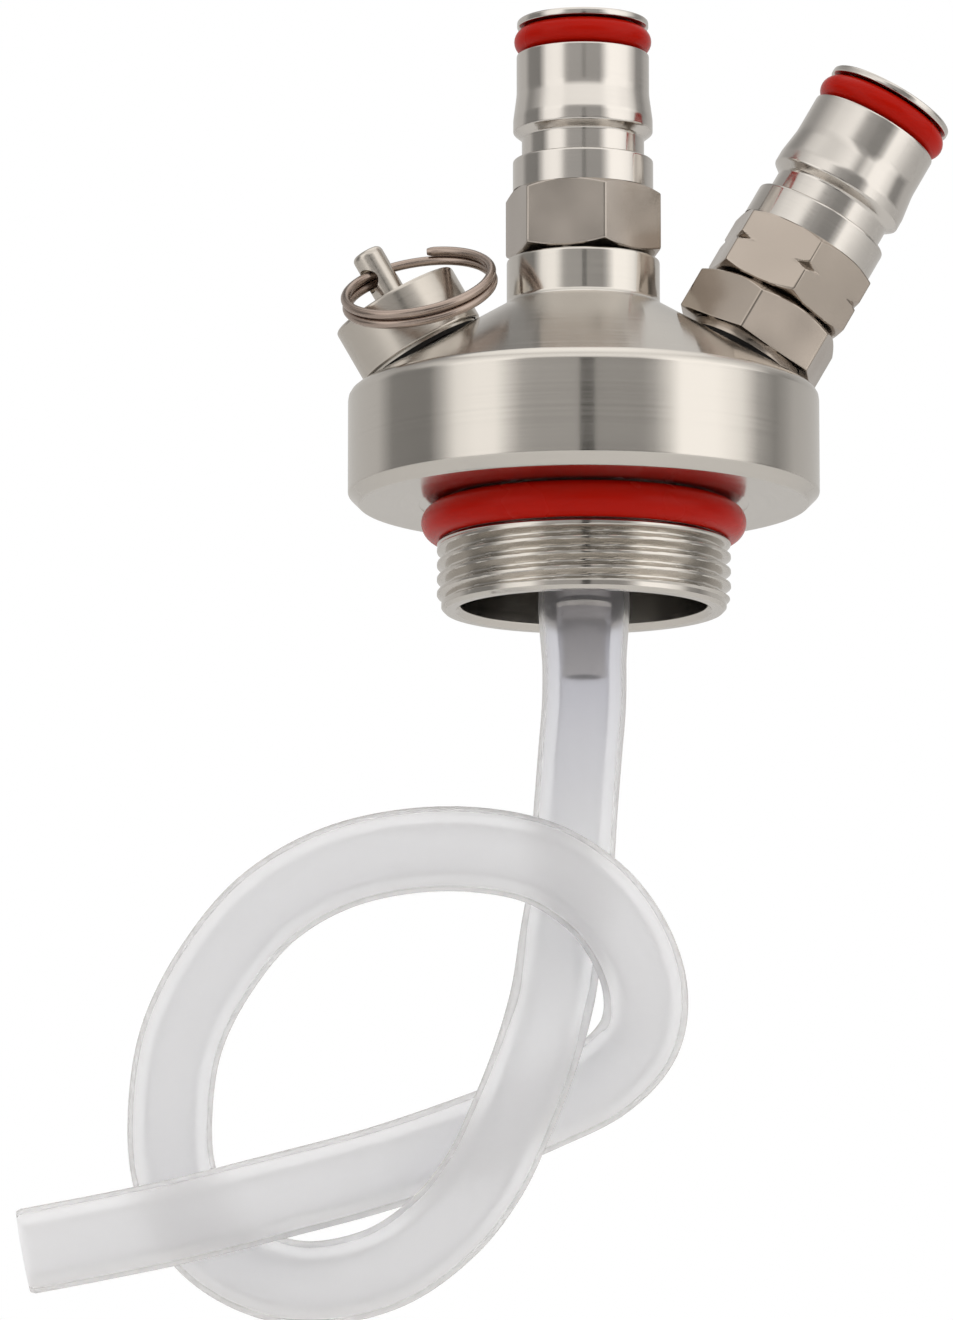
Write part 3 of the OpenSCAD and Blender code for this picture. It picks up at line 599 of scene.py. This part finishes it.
lid_axis = along_axis(0, 0, 0, 0)
liquid_axis = along_axis(0, LIQUID_BASE, 0, 0)
gas_port = along_axis(PORT_R, PORT_Z, CONE, 0)
gas_axis = along_axis(PORT_R, PORT_Z, CONE, GAS_BASE)
relief_port = along_axis(-PORT_R, PORT_Z, -CONE, 0)
print(f"over the seat: ports {PORT_Z:.2f} mm, liquid post {LIQUID_BASE:.2f} mm")

# %% [markdown]
# The lid is one turning: a thick disc, a cone, a boss and a threaded neck. Its thread is a
# real helix here. Going once round lifts the groove by one pitch, so the radius depends on
# the angle and on the height together, and the thread is a grid of its own between the
# turned rows above and below it. A step of 0.15 mm over the red seal keeps the seat face
# outside it.

# %% The lid
PITCH_MM, CREST_R, DEPTH, FLANK = 2.1, 21.0, 1.25, math.tan(math.radians(30))


def thread_rows(theta, low, high, step):
    """Radius and height of the threaded stretch. The phase counts pitches up the neck less
    turns round it; the groove is deepest where the phase is half way, and 60 degrees wide.
    It fades out over run_out below top, and at the mouth a 45 degree bevel, lead_r wide at
    lead_z, takes the crests off."""
    top, run_out, first, half_floor = -5.8, 0.9, -6.05, 0.13
    lead_r, lead_z = 20.375, -14.2
    z = np.arange(low, high, step)[:, None] + 0 * theta[None, :]
    phase = (z - first) / PITCH_MM - theta[None, :] / (2 * np.pi) - 0.25
    off = np.abs(phase % 1.0 - 0.5) * PITCH_MM
    groove = np.clip((DEPTH * FLANK + half_floor - off) / FLANK, 0, DEPTH)
    fade = np.clip((top - z) / run_out, 0, 1)
    lead_in = lead_r + np.clip(z - lead_z, 0, None)
    r = np.minimum(CREST_R - groove * fade, lead_in)
    return np.stack([r, z], 1)


def lid():
    """The lid's closed profile: up the outside from the neck's mouth, and down its bores. The
    two ports are then cut into the cone, each with a flat spot, a plain bore where the real
    one has its thread, and a passage."""
    theta = 2 * np.pi * np.arange(256) / 256
    mouth = eased(
        [[17.6, -13.0], [17.6, -14.6], [18.4, -15.4], [19.875, -15.4], [20.375, -14.9],
         [20.375, -14.25]],
        0.1, closed=False)[1:]
    shell = eased(
        [[21.0, -5.8], [20.75, -5.55], [19.45, -5.55], [19.45, 0.15], [23.55, 0.15],
         [23.55, 0], [32.15, 0], [33.75, 1.6], [33.75, 16.04], [BOSS_R, CONE_TOP],
         [BOSS_R, BOSS_TOP], [7.5, BOSS_TOP], [7.5, LIQUID_BASE + 8], [4.975, LIQUID_BASE + 8],
         [4.975, LIQUID_BASE + 6.55], [3.3, LIQUID_BASE + 6.55], [3.3, 18.3], [6.05, 18.3],
         [6.05, 10], [17.6, 10], [17.6, -13.0]],
        [0.1, 0.1, 0.2, 0.1, 0.1, 0.1, 0.25, 0.25, 1.1, 0.5, 0.4] + [0.15] * 10,
        closed=False)
    plain = [np.repeat(part[:, :, None], len(theta), 2) for part in (mouth, shell)]
    rows = np.concatenate([plain[0], thread_rows(theta, -14.2, -5.85, 0.08), plain[1]])
    made = revolved("lid_turned", rows, lid_axis, [lid_steel], "lid", ["lid_body"],
                    theta)
    spot_r, thread_r = 9.0, 6.55
    pockets = []
    for port, passage_r in ((gas_port, 3.475), (relief_port, 2.5)):
        steps = [[0, -17], [passage_r, -17], [passage_r, -10.7], [thread_r, -10.7],
                 [thread_r, -0.7], [spot_r, -0.7], [spot_r, 4], [0, 4]]
        pockets.append(revolved("pocket", steps, port, [lid_steel], "lid", theta=96, closed=False))
    cut(made, *pockets)
    return made


lid_piece = lid()
print("lid triangles:", sum(len(p.vertices) - 2 for p in lid_piece.data.polygons))

# %% [markdown]
# The red ring under the disc seals the keg's neck. It is squeezed flat against the neck and
# bulges outwards round.

# %% The neck's seal
SEAL_FLOOR_R, SEAL_MIDDLE_R, SEAL_MIDDLE_Z, SEAL_SECTION_R = 19.5, 20.65, -2.65, 2.6

angle = np.radians(np.linspace(-118, 118, 40))
seal_r = SEAL_MIDDLE_R + SEAL_SECTION_R * np.cos(angle)
seal_z = SEAL_MIDDLE_Z + SEAL_SECTION_R * np.sin(angle)
seal_rows = np.stack([np.maximum(seal_r, SEAL_FLOOR_R), seal_z], 1)
revolved("neck_seal_ring", seal_rows, lid_axis, [red_silicone], "lid", ["neck_seal"],
         160, sharp=70)

# %% [markdown]
# A hexagon on a turned part is cut from bar, and then a 30 degree tool takes its corners off
# at both ends. That leaves the curved bevels that make a nut look like a nut. At each angle
# the flat's distance is known, and the bevel reaches as far up as that distance goes past
# the tool's circle. A gas post also has a V groove turned into its corners.


# %% Hexagons
def hex_angles(turn):
    """Angles round a hexagon, close together at its corners, where the edge is rounded."""
    part = np.array([0, 0.7, 1.4, 2.4, 4, 6, 9, 12, 15, 18, 21, 24, 27, 30])
    sector = np.append(part, 60 - part[-2:0:-1])
    return np.radians(turn + np.add.outer(60 * np.arange(6), sector).ravel())


def hex_radius(theta, turn, flats):
    """Distance to a hexagon's side: half the flats over the cosine of the angle from the
    flat's middle, or to the circle of radius edge that rounds its corner, if that is nearer."""
    edge = 0.3
    from_corner = np.abs((theta - math.radians(turn) + np.pi / 6) % (np.pi / 3) - np.pi / 6)
    flat = flats / 2 / np.cos(np.pi / 6 - from_corner)
    centre = (flats / 2 - edge) / math.cos(np.pi / 6)
    inside = np.clip(edge**2 - (centre * np.sin(from_corner)) ** 2, 0, None)
    corner = centre * np.cos(from_corner) + np.sqrt(inside)
    return np.where(centre * np.sin(from_corner) < edge * 0.5, np.minimum(flat, corner), flat)


def hex_rows(theta, turn, flats, height, low_r, high_r, notched, low_share=1.0):
    """Rows of a bevelled hexagon from low_r at its foot to high_r at its top. low_share is how
    much of the bevel its foot has. The tool's circle is 0.3 mm inside the flats."""
    side = hex_radius(theta, turn, flats)
    circle, slope = flats / 2 - 0.3, math.tan(math.radians(30))
    bevel = np.clip((side - circle) * slope, 0.05, None)
    ease, hold = 0.10, 0.06
    foot, foot_r = bevel * low_share, side - low_share * (side - circle)
    low = [[low_r + 0 * side, 0 * side], [foot_r, 0 * side],
           [side - ease * low_share, foot * 0.8], [side, foot + ease],
           [side, foot + ease + hold]]
    high = [[side, height - bevel - ease - hold], [side, height - bevel - ease],
            [side - ease, height - bevel + ease * 0.6],
            [high_r + 0 * side, height - (high_r - circle) * slope + 0 * side]]
    middle = []
    if notched:
        corner, notch_deep, notch_wide = flats / math.sqrt(3), 0.9, 1.4
        for z in np.linspace(-1.5, 1.5, 25):
            groove = corner - notch_deep + abs(z) * 2 * notch_deep / notch_wide
            middle.append([np.minimum(side, groove), height / 2 + z + 0 * side])
    return np.array(low + middle + high)


# %% [markdown]
# Both ball-lock posts are the same turning, so one function makes them. From the bottom: the
# hexagon, a ring, the groove that the coupler's balls lock into, the wide land that guides
# the coupler, a long taper, the groove for the red seal and the lip. The mouth narrows to a
# seat inside, where the poppet's rubber closes.


# %% Ball-lock posts
def post(name, axis, turn, notched, metals, node):
    """One post, with satin metal on the rows of its hexagon and bright metal elsewhere. turn is
    how many degrees its corners are turned, and notched is true where they carry a V groove."""
    theta = hex_angles(turn)
    flats, height, foot_r, ring_r = 20.0, 10.0, 7.55, 10.1
    hexagon = hex_rows(theta, turn, flats, height, foot_r, ring_r, notched)
    body = eased(
        [[ring_r, 9.77], [ring_r, 14.3], [8.8, 14.3], [8.8, 17.5], [10.05, 18.5], [10.05, 20.3],
         [9.55, 24.0], [9.55, 29.9], [6.1, 29.9], [6.1, 33.95], [9.475, 33.95],
         [9.475, 34.95], [4.2, 34.95], [4.2, 30.2], [6.2, 28.2], [6.2, 9.5], [foot_r, 9.5],
         [foot_r, 0]],
        [0.1, 0.35, 0.15, 0.25, 0.2, 0.3, 0.6, 0.3, 0.15, 0.15, 0.2, 0.35, 0.35, 0.2, 0.2]
        + [0.1] * 3,
        closed=False)[1:-1]
    rows = np.concatenate([hexagon, np.repeat(body[:, :, None], len(theta), 2)])
    paint = np.where(np.arange(len(rows)) < len(hexagon) - 1, 1, 0)
    return revolved(name, rows, axis, metals, "lid", [node], theta, paint)


def post_seal(side, axis):
    """A post's red ring, of round section, in the groove under its lip."""
    height, middle_r, section_r = 31.925, 8.025, 1.875
    a = 2 * np.pi * np.arange(28) / 28
    rows = np.stack([middle_r + section_r * np.cos(a), height + section_r * np.sin(a)], 1)
    revolved(f"{side}_post_seal_ring", rows, axis, [red_silicone], "lid", [f"{side}_post_seal"],
             120, sharp=80)


def poppet(side, axis):
    """The spring-loaded pin in a post's mouth: boss, disc and pin."""
    rows = eased(
        [[0, 21.6], [2, 21.6], [2, 25.6], [5.3, 25.6], [5.3, 27.0], [1.7, 27.0], [1.7, 34.15],
         [0, 34.15]],
        [0, 0.2, 0.2, 0.2, 0.2, 0.2, 0.5, 0], closed=False)
    revolved(f"{side}_poppet_turned", rows, axis, [post_steel], f"{side}_valve",
             [f"{side}_poppet"], 64, closed=False)


post("liquid_post_turned", liquid_axis, -18, False, [post_steel, hex_steel], "liquid_post")
post("gas_post_turned", gas_axis, -21, True, [post_steel, gas_hex_steel], "gas_post")
for side, axis in (("liquid", liquid_axis), ("gas", gas_axis)):
    post_seal(side, axis)
    poppet(side, axis)

# %% [markdown]
# Under the gas post sits a short adapter: a male thread into the lid, a low collar on a thin
# black washer, a wide hexagon, and a stub that the post screws onto.


# %% The gas adapter
def adapter():
    """Hexagon rows between a turned foot and a turned stub, all on the gas port's axis."""
    turn, collar_h = 20, 0.8
    theta = hex_angles(turn)
    foot = eased([[3.3, -8.0], [3.3, -10.2], [6.5, -10.2], [6.5, -0.1], [8.5, -0.1],
                  [8.5, collar_h]], 0.12, closed=False)[1:]
    hexagon = hex_rows(theta, turn, 20.8, 7.3, 8.6, 9.9, False, 0.15)
    hexagon[:, 1] += collar_h
    stub = eased([[7.5, 8.0], [7.5, 16.5], [4.975, 16.5], [4.975, 15.05], [3.3, 15.05],
                  [3.3, -8.0]], 0.12, closed=False)
    wide = [np.repeat(part[:, :, None], len(theta), 2) for part in (foot, stub)]
    rows = np.concatenate([wide[0], hexagon, wide[1]])
    return revolved("gas_adapter_turned", rows, gas_port, [gas_hex_steel], "lid",
                    ["gas_adapter"], theta)


adapter()

# %% [markdown]
# The relief valve is a cup with a cap. A pin comes up through the cap, held down by a spring,
# and a split ring through the pin's cross hole lets a finger pull it open.


# %% The relief valve
HOLE_UP, HOLE_R = 12.5, 1.8


def relief_valve():
    """The cap, and the pin with its cross hole, on the relief port's axis."""
    cap = eased([[8.85, 0.3], [9.5, 0.3], [9.5, 8.5], [2.8, 8.5], [2.8, 6.9], [7.9, 6.9],
                 [7.9, 1.2], [8.85, 1.2]], [0.15, 0.25, 0.5, 0.25, 0.1, 0.2, 0.1, 0.1])
    revolved("relief_cap_turned", cap, relief_port, [cap_steel], "lid", ["relief_cap"])
    pin = eased([[0, -4.4], [4.1, -4.4], [4.1, -3.0], [2.3, -3.0], [2.3, 16.6], [0, 16.6]],
                [0, 0.2, 0.2, 0.2, 1.9, 0], 8, closed=False)
    stem = revolved("relief_pin_turned", pin, relief_port, [cap_steel], "relief_plunger",
                    ["relief_stem"], 96, closed=False)
    across = relief_port @ Matrix.Translation((0, 0, HOLE_UP * MM)) @ Matrix.Rotation(
        math.radians(25), 4, "Z") @ Matrix.Rotation(math.pi / 2, 4, "Y")
    drill = revolved("drill", [[0, -5], [HOLE_R, -5], [HOLE_R, 5], [0, 5]], across,
                     [cap_steel], "relief_plunger", theta=48, closed=False)
    cut(stem, drill)


relief_valve()

# %% [markdown]
# The pull ring is a split ring: one wire wound almost twice round, its ends cut square. The
# middle of the wire follows a helix that falls by one pitch a turn.


# %% The pull ring
def split_ring():
    """A tube of round section along the helix. Its last two rings at each end are smaller,
    which rounds the rims of the flat ends. The ring hangs from the pin's hole and rests over
    the cap, 35.5 degrees below square to the pin, a little askew."""
    ring_r, wire_r, pitch, turns, free_end, sides = 10.6, 0.68, 1.42, 1.9, 49.0, 18
    lift = pitch * ((free_end + 270) / 360 + 0.5 - turns / 2)
    run = np.linspace(0, turns, 260)
    a = np.radians(free_end - 360 * run)
    line = np.stack(
        [ring_r * np.cos(a), ring_r * np.sin(a) - ring_r, pitch * (turns / 2 - run) + lift], 1)
    radii = np.full(len(line), wire_r)
    radii[[0, 1, -2, -1]] *= [0.72, 0.92, 0.92, 0.72]
    rings = swept(line * MM, radii * MM, sides, (0.0, 0.0, 1.0))
    place = relief_port @ Matrix.Translation((0, 0, HOLE_UP * MM))
    for degrees, about in ((18, "Z"), (35.5, "X"), (4, "Y")):
        place = place @ Matrix.Rotation(math.radians(degrees), 4, about)
    points = rings.reshape(-1, 3) @ np.array(place.to_3x3()).T + np.array(place.translation)
    last = len(points) - 1
    ends = [list(range(sides)), list(range(last, last - sides, -1))]
    faces = cells(len(line), sides, False)[:, ::-1].tolist() + ends
    uv = cell_uv(run_of(line), sides, False).reshape(-1, 4, 2)[:, ::-1].reshape(-1, 2)
    uv = np.vstack([uv, np.zeros((2 * sides, 2))])
    return add_mesh("pull_ring_wire", points, faces, uv, [ring_wire], "finger_ring",
                    ["pull_ring"], 50)


split_ring()

# %% [markdown]
# What stays of the CAD are small parts that the camera hardly sees: tubes, washers, springs
# and inner seals. They keep their exact shape and get the same metals and rubbers. Each spring
# stands between a moving piece and a fixed one, and each gets a mesh of its own.

# %% Finishes for the CAD parts that stay
tube_steel = satin_steel("drawn_stainless_tube", "#CFCAC2", 0.22)
coil_steel = satin_steel("stainless_spring_coil", "#BDB8B0", 0.25)
kept = {
    tube_steel: ["liquid_dip_tube", "gas_dip_tube", "hose_barb", "relief_body"],
    coil_steel: ["liquid_poppet_spring", "gas_poppet_spring", "relief_spring"],
    black_nitrile: ["liquid_poppet_seal", "gas_poppet_seal", "liquid_tube_seal",
                    "gas_tube_seal", "gas_adapter_washer", "relief_washer", "relief_seal"],
}
for material, names in kept.items():
    for name in names:
        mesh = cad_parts[name].data
        mesh.materials.clear()
        mesh.materials.append(material)


def compress(spring):
    """Reads a coil spring's points and gives the spring its own copy of its mesh. Its shape
    stays as the CAD made it."""
    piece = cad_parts[spring]
    points = np.empty(3 * len(piece.data.vertices), np.float32)
    piece.data.vertices.foreach_get("co", points)
    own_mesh(piece)


compress("liquid_poppet_spring")
compress("gas_poppet_spring")
compress("relief_spring")

# %% [markdown]
# The photograph was lit by two tall soft boxes, left and right of the camera, in a grey room.
# Polished metal is a picture of its room, so the room is built: a big sphere that shines by
# different amounts. The table has a row for each elevation in degrees, which says how bright
# the room is at some azimuths, and it blends between them. It lights the object and shows in
# the metal. The camera and the clear hose look through it at the white backdrop.

# %% Studio
SURROUNDINGS = {
    -40: [(-180, 0.62), (-120, 0.60), (-107, 0.28), (-80, 0.24), (-73, 0.52), (-64, 1.05),
          (-54, 1.22), (-44, 1.20), (-37, 0.66), (-31, 0.46), (-3, 0.42), (-2, 0.0), (4, 0.0),
          (5, 0.32), (33, 0.30), (41, 0.70), (47, 1.38), (66, 1.38), (82, 1.00), (93, 0.34),
          (106, 0.30), (122, 0.58), (180, 0.62)],
    13.2: [(-180, 0.62), (-120, 0.60), (-107, 0.30), (-82, 0.28), (-74, 0.75), (-67, 1.28),
         (-38, 1.36), (-30, 0.62), (-24, 0.46), (28, 0.46), (36, 1.00), (42, 1.46), (80, 1.42),
         (96, 0.90), (106, 0.38), (120, 0.32), (136, 0.52), (180, 0.62)],
    28: [(-180, 0.60), (-128, 0.55), (-104, 0.45), (-80, 0.90), (-60, 1.30), (60, 1.40),
         (90, 1.0), (115, 0.45), (180, 0.60)],
    46: [(-180, 0.36), (-168, 0.18), (-120, 0.40), (-60, 0.90), (0, 0.90), (60, 1.0),
         (120, 0.70), (160, 0.85), (171, 0.70), (180, 0.36)],
    60: [(-180, 1.10), (180, 1.10)],
    80: [(-180, 1.30), (180, 1.30)],
}
SURROUNDINGS[12.2] = SURROUNDINGS[-40]
SURROUNDINGS[23] = SURROUNDINGS[13.2]
SURROUNDINGS[54] = SURROUNDINGS[46]


def room():
    """A sphere round the object, open below. Azimuth 0 is behind the camera and positive is to
    the photograph's right. The brightness goes into a point attribute that the shader reads."""
    radius, columns, rows = 2.2, 361, 65
    a, e = np.linspace(-180, 180, columns), np.linspace(-40, 89, rows)
    heights = sorted(SURROUNDINGS)
    rings = np.array([np.interp(a, *zip(*SURROUNDINGS[height])) for height in heights])
    shine = np.stack([np.interp(e, heights, column) for column in rings.T], 1)
    ar, er = np.radians(a)[None, :], np.radians(e)[:, None]
    points = radius * np.stack(
        [np.cos(er) * np.sin(ar), -np.cos(er) * np.cos(ar), np.sin(er) + 0 * ar], -1)
    points = points.reshape(-1, 3) @ np.array(turn_back.to_3x3()).T
    grid = cells(rows, columns, False).reshape(rows - 1, columns, 4)[:, :-1].reshape(-1, 4)
    material, tree = new_material("grey_room_and_soft_boxes")
    level = add(tree, "ShaderNodeAttribute", {"attribute_name": "shine"}).outputs["Fac"]
    light = add(tree, "ShaderNodeEmission", Color=linear("#FFFCF8"), Strength=level)
    add(tree, "ShaderNodeOutputMaterial", Surface=light.outputs["Emission"])
    piece = add_mesh("room_and_soft_boxes", points, grid, None, [material], None)
    piece.data.attributes.new("shine", "FLOAT", "POINT").data.foreach_set("value", shine.ravel())
    piece.visible_camera = False
    piece.visible_transmission = False
    print(f"room: brightness {shine.min():.2f} to {shine.max():.2f}")


room()

# %% [markdown]
# The floor is pale and plain, well below the hanging hose. The backdrop is the world itself:
# white where the camera, the metal or the clear hose looks at it, and softer where it only
# lights the object.

# %% Floor and world
FLOOR_HALF, FLOOR_Z = 4.0, -0.42

floor_paint, tree = new_material("white_painted_floor")
where = add(tree, "ShaderNodeTexCoord").outputs["Object"]
grain = add(tree, "ShaderNodeTexNoise", Vector=where, Scale=60.0).outputs["Fac"]
paint = add(
    tree, "ShaderNodeMix", {"data_type": "RGBA"}, Factor=grain,
    n6=linear("#F2F2F2"), n7=linear("#F8F8F8"),
).outputs[2]
shader = add(tree, "ShaderNodeBsdfPrincipled", Base_Color=paint, Roughness=0.7)
add(tree, "ShaderNodeOutputMaterial", Surface=shader.outputs["BSDF"])
square = ((-1, -1), (1, -1), (1, 1), (-1, 1))
corners = [(FLOOR_HALF * x, FLOOR_HALF * y, FLOOR_Z) for x, y in square]
floor = add_mesh("floor", corners, [(0, 1, 2, 3)], None, [floor_paint], None)

world = bpy.data.worlds.new("white_studio")
world.use_nodes = True
world.node_tree.nodes.clear()
tree = world.node_tree
path = add(tree, "ShaderNodeLightPath").outputs
seen = add(
    tree, "ShaderNodeMath", {"operation": "MAXIMUM"},
    n0=path["Is Camera Ray"], n1=path["Is Glossy Ray"],
).outputs[0]
seen = add(
    tree, "ShaderNodeMath", {"operation": "MAXIMUM"}, n0=seen, n1=path["Is Transmission Ray"]
).outputs[0]
strength = add(
    tree, "ShaderNodeMapRange", Value=seen, To_Min=0.75, To_Max=1.0
).outputs["Result"]
glow = add(tree, "ShaderNodeBackground", Color=(1, 1, 1, 1), Strength=strength)
add(tree, "ShaderNodeOutputWorld", Surface=glow.outputs["Background"])
bpy.context.scene.world = world
bpy.context.scene.view_settings.view_transform = "Standard"

# %% [markdown]
# Dressing must not change the object's size. The last cell brings the scene up to date.

# %% Bring the scene up to date
bpy.context.view_layer.update()
